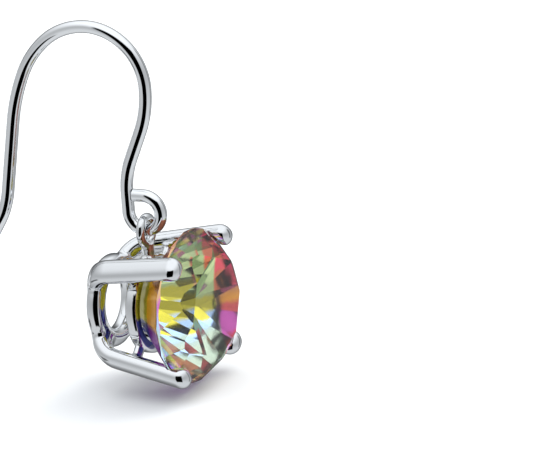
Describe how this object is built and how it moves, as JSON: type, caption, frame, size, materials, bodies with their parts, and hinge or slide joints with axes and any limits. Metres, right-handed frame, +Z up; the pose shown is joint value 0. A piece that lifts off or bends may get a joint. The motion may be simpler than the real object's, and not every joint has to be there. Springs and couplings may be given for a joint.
{
  "type": "drop earring",
  "caption": "Drop earring: a round-wire ear hook with a closed lower loop carries a pronged basket setting that holds a round brilliant-cut stone.",
  "frame": {"origin": "the underside of the hook's arch, where it rests in the pierced ear lobe", "axes": "+Z up, -Y the way the stone faces, +X across the hook, whose wire lies in the plane x = 0"},
  "size_m": [0.0098, 0.0158, 0.0231],
  "materials": {
    "silver": "polished",
    "stone": "polished"
  },
  "bodies": {
    "hook": {"ear_hook": "silver"},
    "drop": {"basket_setting": "silver", "stone": "stone"}
  },
  "joints": [
    {"name": "drop_swing", "type": "hinge", "parent": "hook", "child": "drop", "pos_m": [0, -0.00302, -0.01188], "axis": [1, 0, 0], "range_deg": [-55, 55]}
  ]
}
